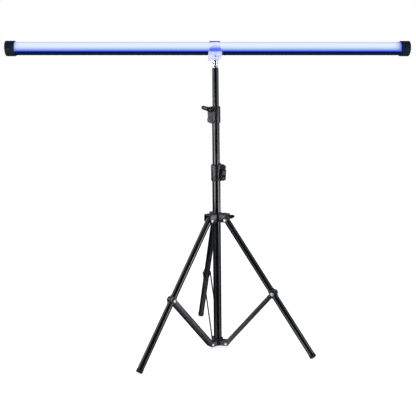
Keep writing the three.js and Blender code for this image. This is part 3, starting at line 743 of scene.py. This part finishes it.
# ---- locks ----
def lock_body(lock):
    """A split sleeve with two ears that taper to their tips."""
    s, h = lock["reach"] / EAR_REACH, lock["height"]
    ears = [
        (4, 3), (18 * s, 1), (24 * s, 3), (26.2 * s, 8), (25.6 * s, 18), (25 * s, 34),
        (EAR_REACH * s, h - 12), (26.6 * s, h - 5), (21 * s, h - 0.8), (15.2, h - 0.2),
        (11.4, h + lock["fin"]), (8.2, h + lock["fin"]), (8.2, h - 1), (4, h - 1),
    ]
    end = lock["reach"] + 1
    near_side = [(0, -LOCK_HALF), (9, -LOCK_HALF), (end, -LOCK_TIP_HALF)]
    plan = near_side + [(x, -y) for x, y in reversed(near_side)]
    taper = turned(prism(plan, -10, h + 10), 90, "X")
    tapered = common(prism(rounded(ears, 2.2), -LOCK_HALF, LOCK_HALF), taper)
    soften(tapered, 1.1, 3, 50)
    r = lock["radius"]
    foot_rim = [(0, 0), (r - 1.4, 0), (r - 0.4, 0.7), (r, 2.2)]
    sleeve = lathe(foot_rim + [(x, h - z) for x, z in reversed(foot_rim)], 80)
    boss = shifted(rod(LOCK_BOSS, -LOCK_HALF, LOCK_HALF, "y", edge=0.5), lock["hub_x"], 0, LOCK_HUB_Z)
    bores = [
        turned(rod(lock["bolt_bore"] + GAP, -1, lock["step"], sides=80), BORE_TURN),
        turned(rod(lock["end_bore"] + GAP, lock["step"] - 1, h + 10, sides=80), -BORE_TURN),
    ]
    slit = box(0, 40, -0.8, 0.8, -1, h + 10)
    bolt_hole = shifted(rod(LOCK_BOLT_HOLE, -20, 20, "y"), lock["hub_x"], 0, LOCK_HUB_Z)
    return cut(join(sleeve, tapered, boss), *bores, slit, bolt_hole)


def thumb_dish(depth):
    """A long round-ended shape that sinks into the front of the lever's arm."""
    r = DISH["radius"]
    ends = arc(r, 180, 90, 10, DISH["low"] + r) + arc(r, 90, 0, 10, DISH["high"] - r)
    half = [(y, x) for x, y in ends]
    return shifted(turned(lathe(half, 48), 90, "Y"), 0, LEVER_FRONT + depth - r, 0)


def lock_lever():
    """An arm with a thumb dish along it, and a round seat for the bolt's head."""
    tip_end = arc(LEVER["tip"], -78, 78, 14, LEVER["length"] - LEVER["tip"], 0)
    outline = rounded(arc(LEVER["hub"], 62, 298, 20) + tip_end, 1.2, 2)
    arm = prism(outline, LEVER_FRONT, -LOCK_HALF - GAP, 0.9)
    seat = rod(4.6, LEVER_FRONT - 1, LEVER_FRONT + 0.8, "y", 40)
    return cut(arm, thumb_dish(DISH["depth"]), seat, rod(LOCK_BOLT_HOLE, -30, 0, "y"))


def thumb_pad():
    """The pad that lines the dish, a little below the arm's face."""
    below_face = box(0, 40, LEVER_FRONT + PAD["sunk"], 0, -10, 10)
    pad = common(thumb_dish(DISH["depth"] + PAD["rooted"]), below_face)
    return cut(pad, thumb_dish(DISH["depth"] - PAD["thickness"]))


def bolt():
    """A cross bolt with a low domed head and a hexagon socket."""
    head = lathe([(0, -0.2), (3.3, -0.2), (3.6, 0.1), (3.6, 0.9), (3.1, 1.5), (2.2, 1.9), (0, 2.0)], 48)
    head = cut(head, rod(1.6, 0.9, 5, sides=6))
    head = shifted(turned(head, 90, "X"), 0, -LOCK_HALF - 7.6)
    return join(head, rod(2.5, -LOCK_HALF - 8, LOCK_HALF + 4, "y", 32, 0.3))


def hexagon_nut(across, low, high, bore):
    nut = rod(across, low, high, "y", 6)
    soften(nut, 0.25, 2, 50)
    return cut(nut, rod(bore, low - 5, high + 5, "y", 32))


def build_lock(prefix, over):
    """Builds a lock, which hangs head down where it is turned over."""
    lock, name = LOCKS[prefix], prefix + "_lock_"
    low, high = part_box(name + "body")
    where = MAST @ Matrix.Translation((0, 0, high.z if over else low.z))
    if over:
        where = where @ Matrix.Rotation(math.pi, 4, "Y")
    build(lock_body(lock), where, PLASTIC, name + "body")
    hub = where @ offset(lock["hub_x"], 0, LOCK_HUB_Z)
    build(bolt(), hub, DULL_ZINC, name + "bolt")
    build(hexagon_nut(4.6, LOCK_HALF + GAP, LOCK_HALF + 4, LOCK_BOLT_HOLE), hub, STEEL, name + "nut")
    swung = hub @ Matrix.Rotation(-math.radians(lock["lever"]), 4, "Y")
    build(lock_lever(), swung, PLASTIC, name + "lever")
    add(thumb_pad(), prefix + "_lever_pad", swung, THUMB_PAD, BODY_OF[name + "lever"])


# ---- rivets ----
def rivet_dome(low):
    """A domed head that sits at z = 0 and reaches down to low inside what it holds."""
    r, h = RIVET_HEAD["radius"], RIVET_HEAD["height"]
    rim = [(r - 0.3, low), (r, low + 0.2), (r, 0.3)]
    crown = [(0.94 * r, 0.5 * h), (0.75 * r, 0.8 * h), (0.45 * r, 0.97 * h), (0, h)]
    return lathe([(0, low), *rim, *crown], 40)


def rivet(half):
    """A rivet along Y with a domed head at each end."""
    seat = half + GAP
    heads = [shifted(turned(rivet_dome(0), -side * 90, "X"), 0, side * seat) for side in (-1, 1)]
    return join(rod(PIN, -half - 1, half + 1, "y", 32), *heads)


# ---- leg collar and its knob ----
def collar():
    """A core round the mast with a fork for each leg and a boss for the knob's screw."""
    bottom, top = FORK["bottom"], FORK["top"]
    reach = LEG_PIVOT_Z - bottom
    end = PIVOT_RADIUS + reach
    side = [
        (4, bottom), *arc(reach, -90, 0, 14, PIVOT_RADIUS, LEG_PIVOT_Z), (end, top - 4),
        *arc(3.4, 10, 80, 5, end - 3.4, top - 3.4), (end - 4, top), (4, top),
    ]
    core = rod(FORK["core"], bottom, top, sides=96, edge=1.0)
    boss = shifted(rod(6.4, 10, 31, "x", edge=0.8), 0, 0, KNOB_Z)
    to_knob = math.degrees(math.atan2(*reversed(joint_axis("collar_knob_turn").xy)))
    forks, slots = [turned(boss, to_knob)], []
    for name in SIDES:
        azimuth = azimuth_of("leg_fold_" + name)
        forks.append(turned(prism(side, -FORK["half"], FORK["half"], 1.4), azimuth))
        slot = box(FORK["slot_start"], 60, -FORK["slot"], FORK["slot"], bottom - 5, top - FORK["web"])
        slots.append(turned(slot, azimuth))
        slots.append(turned(shifted(pin_hole(30), PIVOT_RADIUS, 0, LEG_PIVOT_Z), azimuth))
    bore = turned(rod(LOWER_MAST["radius"] + GAP, bottom - 5, top + 5, sides=96), BORE_TURN)
    screw_hole = turned(shifted(rod(PIN + GAP, 5, 40, "x", 32), 0, 0, KNOB_Z), to_knob)
    return cut(join(core, *forks), *slots, bore, screw_hole)


def knob():
    """A fluted knob that narrows to its end."""
    profile = [
        (0, 34), (5.6, 34), (5.9, 34.3), (6.5, 37), (6.5, 52), (6.4, 56), (6.2, 60),
        (5.7, 64), (5.0, 67), (4.2, 69.4), (3.2, 71.2), (1.6, 73), (0, 73),
    ]
    flutes = []
    for i in range(KNOB_FLUTE["count"]):
        flute = rod(KNOB_FLUTE["radius"], KNOB_FLUTE["low"], KNOB_FLUTE["high"], sides=32, edge=1.0)
        turn = 360 / KNOB_FLUTE["count"] * i + FLUTE_TURN
        flutes.append(turned(shifted(flute, KNOB_FLUTE["offset"]), turn))
    return cut(lathe(profile, 96), *flutes, rod(PIN + GAP, 30, 52, sides=32))


def build_collar():
    build(collar(), MAST, COLLAR_PLASTIC, "leg_collar")
    for side in SIDES:
        where = pivot_place("leg_fold_" + side) @ offset(PIVOT_RADIUS, 0, LEG_PIVOT_Z)
        build(rivet(FORK["half"]), where, RIVET_PLATE, "leg_pin_" + side)
    outward = place(MAST @ Vector((0, 0, KNOB_Z * MM)), UP, joint_axis("collar_knob_turn"))
    build(knob(), outward, GRIP_PLASTIC, "collar_knob")
    screw = rod(PIN, LOWER_MAST["radius"] + GAP, 51, sides=32, edge=0.4)
    build(screw, outward, STEEL, "collar_knob_screw")


# ---- hub ----
def hub():
    """A cup under the mast with a lug for each brace and a drain hole in its floor."""
    pivot_z = joint_place("brace_fold_rear").z * MM_PER_METRE
    bottom = pivot_z - HUB["lug_end"]
    lug_end = arc(HUB["lug_end"], -90, 90, 20, PIVOT_RADIUS, pivot_z)
    side = [(4, bottom), *lug_end, (4, pivot_z + HUB["lug_end"])]
    core = rod(HUB["radius"], bottom, HUB["top"], sides=96, edge=1.0)
    lugs, holes = [], []
    for name in SIDES:
        azimuth = azimuth_of("brace_fold_" + name)
        lugs.append(turned(prism(side, -HUB["lug_half"], HUB["lug_half"], 0.9), azimuth))
        holes.append(turned(shifted(pin_hole(30), PIVOT_RADIUS, 0, pivot_z), azimuth))
    bore = rod(LOWER_MAST["radius"] + GAP, bottom + HUB["floor"], HUB["top"] + 5, sides=96)
    drain = rod(5, bottom - 5, bottom + HUB["floor"] + 1, sides=32)
    return cut(join(core, *lugs), *holes, bore, drain)


def build_hub():
    build(hub(), MAST, PLASTIC, "lower_hub")
    for side in SIDES:
        to_pin = Matrix.Translation((PIVOT_RADIUS * MM, 0, joint_place("brace_fold_" + side).z))
        where = pivot_place("brace_fold_" + side) @ to_pin
        build(rivet(BAR["outer"]), where, RIVET_PLATE, "hub_pin_" + side)


# ---- legs and braces ----
def leg_tube(clamp_distance):
    holes = [shifted(pin_hole(20), 0, 0, -z) for z in (0, clamp_distance)]
    return cut(steel_tube(LEG["radius"], -LEG["end"], LEG["top"]), *holes)


def leg_clamp():
    """A sleeve on the tube with a rounded pad on its outer side."""
    sleeve = rod(BAR["inner"] - GAP, -CLAMP_HALF, CLAMP_HALF, sides=72, edge=0.5)
    outline = [(0, -CLAMP_HALF), *arc(10, -62, 62, 20, 4.6, 0), (0, CLAMP_HALF)]
    bore = rod(LEG["radius"] + GAP, -20, 20, sides=72)
    return cut(join(sleeve, prism(outline, -8.5, 8.5, 1.2)), bore, pin_hole(20))


def foot(where):
    """A grooved rubber cap, worn flat where it meets the floor."""
    bore = LEG["radius"] - WALL - GAP
    end, low = -LEG["end"] - GAP, -LEG["foot"]
    grooves = []
    for i in range(3):
        z = low + 2.2 + 2.5 * i
        grooves += [(10.2, z), (9.75, z + 0.35), (9.75, z + 0.95), (10.2, z + 1.3)]
    profile = [
        (0, low), (9.2, low), (9.9, low + 0.4), (10.2, low + 1.2), *grooves, (10.2, end - 0.3),
        (9.9, end), (bore, end), (bore, end + 18), (bore - 1, end + 20), (0, end + 20),
    ]
    below = box(-400, 400, -400, 400, -100, 0)
    to_leg = where.inverted()
    to_leg.translation *= MM_PER_METRE
    return cut(lathe(profile, 72), moved(below, to_leg))


def brace_bar():
    r = BAR["half_width"]
    outline = arc(r, 180, 360, 20) + arc(r, 0, 180, 20, 0, BRACE_LENGTH)
    return cut(prism(outline, BAR["inner"], BAR["outer"], 0.4, segments=2), pin_hole(20))


def clamp_rivet_head():
    """The head of the clamp's rivet, on the bar's outer face."""
    return shifted(turned(rivet_dome(-0.8), -90, "X"), 0, BAR["outer"], BRACE_LENGTH)


def build_legs():
    for side in SIDES:
        where = leg_place(side)
        distance = (joint_place("leg_fold_" + side) - centre("clamp_pin_" + side)).length
        build(leg_tube(distance * MM_PER_METRE), where, PAINT, "leg_tube_" + side)
        build(foot(where), where, RUBBER, "foot_" + side)
        at_clamp = where @ Matrix.Translation((0, 0, -distance))
        build(leg_clamp(), at_clamp, PLASTIC, "leg_clamp_" + side)
        pin_half = BAR["inner"] - GAP
        build(rod(PIN, -pin_half, pin_half, "y", 32, 0.3), at_clamp, STEEL, "clamp_pin_" + side)
        brace = brace_place(side)
        for bar, turn in (("a", 0), ("b", 180)):
            node = "brace_bar_" + bar + "_" + side
            build(turned(brace_bar(), turn), brace, BRACE_PAINT, node)
            head = turned(clamp_rivet_head(), turn)
            add(head, "clamp_rivet_" + bar + "_" + side, brace, RIVET_PLATE, BODY_OF[node])


# ---- clip ----
def squarer(value):
    """A circle's sine or cosine, drawn out so that the arch has a flatter top and steeper sides."""
    return math.copysign(abs(value) ** 0.75, value)


def saddle():
    """Two cheeks and a foot that cradle the strap, in one clear moulding."""
    rim = math.degrees(math.asin(10 / CLIP_OUTER))
    inner = STRAP["outer"] + GAP
    section = [
        *arc(CLIP_OUTER, rim, -40, 20), (15, -31), *arc(3, -10, -80, 5, 11.5, -31),
        *arc(3, -100, -170, 5, -11.5, -31), (-15, -31), *arc(CLIP_OUTER, 220, 180 - rim, 20),
        *arc(inner, 180 - rim, 242, 24), *arc(STRAP["inner"], 246, 294, 16),
        *arc(inner, 298, 360 + rim, 24),
    ]
    cheek = [
        (-20, -8), (-20, -34), (-10.5, -34), (-9.5, -29.6), (9.5, -29.6),
        (10.5, -33), (13, -33), (21.5, -17), (21.5, -8), (17.5, -6.5),
    ]
    arch = [(16 * squarer(c), -4 + 12 * squarer(s)) for c, s in arc(1, 4, 176, 40)]
    face = rounded(cheek, 1.2, 3) + arch + [(-18, -6.5)]
    block = common(prism(section, -25, 30, along="x"), prism(face, -30, 30))
    insert = rod(6 + GAP, -40, -24.3)
    across = shifted(rod(CLIP_BOLT_HOLE, -30, 30, "y", 32), 0, 0, CLIP_BOLT_Z)
    return cut(block, insert, across)


def strap():
    outline = arc(STRAP["outer"], -56, 236, 72) + arc(STRAP["inner"], 236, -56, 72)
    low, high = STRAP["middle"] - STRAP["half"], STRAP["middle"] + STRAP["half"]
    return prism(outline, low, high, 0.4, along="x", segments=2)


def clip_bolt():
    head = rod(2.9, -20.4, -18.1, "y", 40, 0.4)
    return cut(join(rod(1.5, -19, 20.4, "y", 24, 0.2), head), rod(1.3, -21, -19.2, "y", 6))


def build_clip():
    where = head_place()
    build(saddle(), where, MILKY, "clip_saddle", sharp=30)
    build(strap(), where, CLEAR, "clip_strap")
    ring = [(STUD + 0.6, -29.4), (5.7, -29.4), (6, -29.1), (6, -24.9), (5.7, -24.6), (STUD + 0.6, -24.6)]
    build(lathe(ring), where, BRASS, "clip_thread_insert")
    across = where @ offset(z=CLIP_BOLT_Z)
    build(clip_bolt(), across, NICKEL, "clip_bolt")
    build(hexagon_nut(3.2, 18.2, 20.4, CLIP_BOLT_HOLE), across, STEEL, "clip_nut")


# ---- light tube ----
def housing():
    """A round-bottomed extrusion with a battery channel and three shallow grooves along its back."""
    outer, inner = TUBE["radius"], TUBE["radius"] - TUBE["shell"]
    seam = math.degrees(TUBE["seam"])
    groove, depth = 1.3, 0.5
    under = []
    start = -seam
    for middle in (-60, -90, -120):
        under += arc(outer, start, middle + groove, 12)
        under += arc(outer - depth, middle + 0.6 * groove, middle - 0.6 * groove, 2)
        start = middle - groove
    under += arc(outer, start, -180 + seam, 12)
    shelf = 12
    foot = -math.degrees(math.acos(shelf / inner))
    near_wall, far_wall = arc(inner, -seam, foot, 4), arc(inner, -180 - foot, -180 + seam, 4)
    section = [*reversed(under), *near_wall, (shelf, 0), (-shelf, 0), *far_wall]
    web = 1.2
    hollow = -math.degrees(math.acos((shelf - web) / inner))
    channel = [*arc(inner, -180 - hollow, hollow, 16), (shelf - web, -web), (web - shelf, -web)]
    body = prism(section, -BODY_HALF, BODY_HALF, along="x")
    return cut(body, prism(channel, -BODY_HALF - 5, BODY_HALF + 5, along="x"))


def diffuser():
    outer, inner = TUBE["radius"], TUBE["radius"] - TUBE["shell"]
    start = -math.degrees(TUBE["seam"]) + 0.6
    outline = arc(outer, start, 180 - start, 96) + arc(inner, 180 - start, start, 96)
    return prism(outline, -BODY_HALF, BODY_HALF, along="x")


def cap():
    """A cup with a rounded rim, a shallow dish in its face and a groove round its mouth."""
    r, length, bore = CAP["radius"], CAP["length"], TUBE["radius"] + GAP
    profile = [
        (0, 0.5), (16.2, 0.5), (16.8, 0), (r - 2.4, 0), *arc(2.4, -80, -10, 6, r - 2.4, 2.4), (r, 2.4),
        (r, length - 4.6), (r - 0.45, length - 4.3), (r - 0.45, length - 3.5), (r, length - 3.2),
        (r, length - 0.9), (r - 0.8, length), (bore + 0.4, length), (bore, length - 0.4),
        (bore, CAP["wall"]), (0, CAP["wall"]),
    ]
    return lathe(profile, 96)


def cap_screw():
    dome = [(0, -1.1), (1.9, -1.05), (2.7, -0.7), (3, -0.25), (3, 0)]
    head = lathe([*dome, (1.5, 0), (1.5, 11.7), (1.2, 12), (0, 12)], 40)
    recess = [box(-1.7, 1.7, -0.28, 0.28, -2, -0.5), box(-0.28, 0.28, -1.7, 1.7, -2, -0.5)]
    return cut(head, *recess)


def inlet_outline(half_width, half_height, x=0.0, y=0.0):
    """A slot's outline with round ends."""
    reach = half_width - half_height
    left = arc(half_height, 90, 270, 10, x - reach, y)
    return left + arc(half_height, -90, 90, 10, x + reach, y)


def build_end(side):
    where = end_place(side)
    shank_hole = shifted(rod(CAP_SCREW["shank_hole"], -5, 10, sides=32), CAP["screw"])
    head_hole = shifted(rod(CAP_SCREW["head_hole"], -5, CAP_SCREW["sunk"] + GAP, sides=40), CAP["screw"])
    holes = [shank_hole, head_hole]
    if side == "right":
        holes.append(shifted(rod(BUTTON["radius"] + GAP, -5, 10), BUTTON["z"], BUTTON["y"]))
        outline = inlet_outline(INLET["half_width"], INLET["half_height"], INLET["y"], INLET["z"])
        to_cap = where.to_3x3().to_4x4().inverted() @ tube_place().to_3x3().to_4x4()
        holes.append(moved(prism(outline, -5, 10, along="x"), to_cap))
    build(cut(cap(), *holes), where, CAP_PLASTIC, side + "_end_cap")
    sunk = where @ offset(CAP["screw"], 0, CAP_SCREW["sunk"])
    build(cap_screw(), sunk, STEEL, side + "_cap_screw")


def button():
    """A rubber cap with a dished face, kept in by a flange behind the wall."""
    seat, r, flange = TUBE["half"] - CAP["wall"] - GAP, BUTTON["radius"], BUTTON["flange"]
    face = TUBE["half"] + BUTTON["proud"]
    profile = [
        (0, seat - 1.2), (flange, seat - 1.2), (flange, seat), (r, seat), (r, face - 0.5),
        (r - 0.15, face - 0.15), (r - 0.5, face), (r - 1.0, face), (r - 1.6, face - 0.3), (0, face - 0.45),
    ]
    return shifted(turned(lathe(profile, 56), 90, "Y"), 0, BUTTON["y"], BUTTON["z"])


def inlet():
    """A metal shell round a contact tongue."""
    mouth, back = TUBE["half"] - 0.6, BODY_HALF - 9
    w, h = INLET["half_width"] - GAP, INLET["half_height"] - GAP
    shell = prism(inlet_outline(w, h), back, mouth, along="x")
    hollow = prism(inlet_outline(w - 0.4, h - 0.4), back + 2, mouth + 1, along="x")
    tongue = prism([(-3, -0.35), (3, -0.35), (3, 0.35), (-3, 0.35)], back + 1, mouth - 1.4, along="x")
    return shifted(join(cut(shell, hollow), tongue), 0, INLET["y"], INLET["z"])


def build_light_tube():
    where = tube_place()
    build(housing(), where, HOUSING, "tube_housing")
    build(diffuser(), where, OPAL, "diffuser")
    build_end("left")
    build_end("right")
    build(button(), where, RUBBER, "power_button")
    build(inlet(), where, STEEL, "charge_inlet")


# ---- pieces inside, which keep the frame's own shape ----
def paint_inner_pieces():
    looks = {"led_board": LED_BOARD, "battery_pack": CELLS, "control_board": CONTROL_BOARD}
    for node in ("middle_guide_bush", "top_guide_bush", "left_bulkhead", "right_bulkhead"):
        looks[node] = PLASTIC
    for node, look in looks.items():
        frame["nodes"][node].data.materials.clear()
        frame["nodes"][node].data.materials.append(look)


# ---- studio ----
def floor_paper():
    """White paper, lit evenly from behind so that it runs into the white backdrop."""
    look = Look("floor_paper", Roughness=0.8)
    look.colour(look.ramp(look.noise(3, 4), ((0.3, (0.88, 0.88, 0.885)), (0.7, (0.9, 0.9, 0.905)))))
    look.shader.inputs["Emission Color"].default_value = (1, 1, 1, 1)
    look.shader.inputs["Emission Strength"].default_value = 0.85
    return look.material


def make_floor():
    made = bmesh.new()
    bmesh.ops.create_circle(made, cap_ends=True, segments=96, radius=4.5)
    mesh = mesh_of(made, "floor")
    mesh.materials.append(floor_paper())
    floor = put("floor", mesh)
    floor.visible_glossy = False


def softbox(name, place_from, towards, width, height, brightness, colour=(1, 1, 1)):
    """A rectangular light whose face has that brightness, whatever its size."""
    data = bpy.data.lights.new(name, "AREA")
    data.shape = "RECTANGLE"
    data.size, data.size_y = width, height
    data.energy = brightness * math.pi * width * height
    data.color = colour
    lamp = put(name, data)
    away = Vector(place_from) - Vector(towards)
    lamp.matrix_world = Matrix.Translation(place_from) @ away.to_track_quat("Z", "Y").to_matrix().to_4x4()
    return lamp


def make_studio():
    """Reflector panels on both sides, in front, low down and behind, and an even light overhead."""
    make_floor()
    mast = MAST.translation
    mauve, slate = (1.0, 0.97, 1.0), (0.82, 0.94, 1.0)
    for name, azimuth, low, high, width, brightness, colour in (
        ("left_deep", 228, -2.4, -1.0, 1.9, 3.0, mauve),
        ("left_low", 215, -1.0, -0.13, 1.3, 0.4, mauve),
        ("left_collar", 200, -0.13, -0.06, 1.2, 2.5, slate),
        ("left_strip", 222, 0.0, 0.36, 1.9, 6.0, mauve),
        ("left_mid", 212, 0.36, 0.52, 1.3, 6.0, mauve),
        ("left_shoulder", 221.5, 0.52, 0.7, 2.26, 6.0, mauve),
        ("left_panel", 184, 0.7, 1.08, 2.6, 2.4, mauve),
        ("left_top", 184, 1.08, 2.8, 2.6, 1.8, mauve),
        ("left_behind", 125, 0.93, 1.5, 3.0, 1.4, mauve),
        ("right_low", 335, -1.2, -0.13, 1.3, 1.8, mauve),
        ("right_collar", 342, -0.16, -0.06, 2.3, 8.0, mauve),
        ("right_strip", 337, -0.06, 0.15, 1.65, 5.6, mauve),
        ("right_elbow", 330, 0.15, 0.3, 2.42, 6.2, mauve),
        ("right_mid", 338, 0.3, 1.08, 1.5, 2.6, slate),
        ("right_top", 338, 1.08, 2.6, 1.5, 1.0, slate),
        ("right_behind", 55, 0.93, 1.5, 3.0, 1.4, slate),
    ):
        angle = math.radians(azimuth)
        height = Vector((0, 0, (low + high) / 2))
        outwards = Vector((PANEL_DISTANCE * math.cos(angle), PANEL_DISTANCE * math.sin(angle), 0))
        panel = softbox(name, mast + height + outwards, mast + height, width, high - low, brightness, colour)
        panel.visible_diffuse = False
        panel.visible_camera = False
    softbox("overhead", mast + Vector((0, 0.2, 3.1)), mast, 1.4, 1.4, 1.2)
    middle = mast + Vector((0, 0, 0.3))
    for name, place_from, width, height, brightness in (
        ("high_front", (0, -1.7, 2.4), 1.6, 1.0, 2.0),
        ("floor_bounce", (0, 0.35, -1.25), 1.5, 0.9, 0.4),
    ):
        bounce = softbox(name, mast + Vector(place_from), middle, width, height, brightness)
        bounce.visible_diffuse = False
    even = softbox("even_ceiling", Vector((0, 0, 5)), Vector(), 11, 11, 0.55)
    even.visible_glossy = False
    even.visible_transmission = False
    make_world()


def make_world():
    """White where the camera sees it. Reflections find a pale cove behind and a dark room in front."""
    world = bpy.data.worlds.new("studio")
    bpy.context.scene.world = world
    world.use_nodes = True
    nodes, links = world.node_tree.nodes, world.node_tree.links
    direction = nodes.new("ShaderNodeSeparateXYZ")
    links.new(nodes.new("ShaderNodeTexCoord").outputs["Generated"], direction.inputs[0])
    cove = nodes.new("ShaderNodeValToRGB")
    stops = ((0.4, (0.003, 0.005, 0.01, 1)), (0.7, (0.15, 0.155, 0.165, 1)))
    for element, (position, colour) in zip(cove.color_ramp.elements, stops):
        element.position = position
        element.color = colour
    links.new(direction.outputs["Y"], cove.inputs["Fac"])
    room = nodes["Background"]
    links.new(cove.outputs["Color"], room.inputs["Color"])
    seen = nodes.new("ShaderNodeBackground")
    seen.inputs["Color"].default_value = (1, 1, 1, 1)
    rays = nodes.new("ShaderNodeLightPath")
    straight = nodes.new("ShaderNodeMath")
    straight.operation = "MAXIMUM"
    links.new(rays.outputs["Is Camera Ray"], straight.inputs[0])
    links.new(rays.outputs["Is Transmission Ray"], straight.inputs[1])
    mix = nodes.new("ShaderNodeMixShader")
    links.new(straight.outputs[0], mix.inputs["Fac"])
    links.new(room.outputs[0], mix.inputs[1])
    links.new(seen.outputs[0], mix.inputs[2])
    links.new(mix.outputs[0], nodes["World Output"].inputs["Surface"])
    bpy.context.scene.view_settings.view_transform = "Standard"


make_camera()
make_studio()
build_mast()
build_lock("lower", over=False)
build_lock("upper", over=True)
build_collar()
build_hub()
build_legs()
build_clip()
build_light_tube()
paint_inner_pieces()
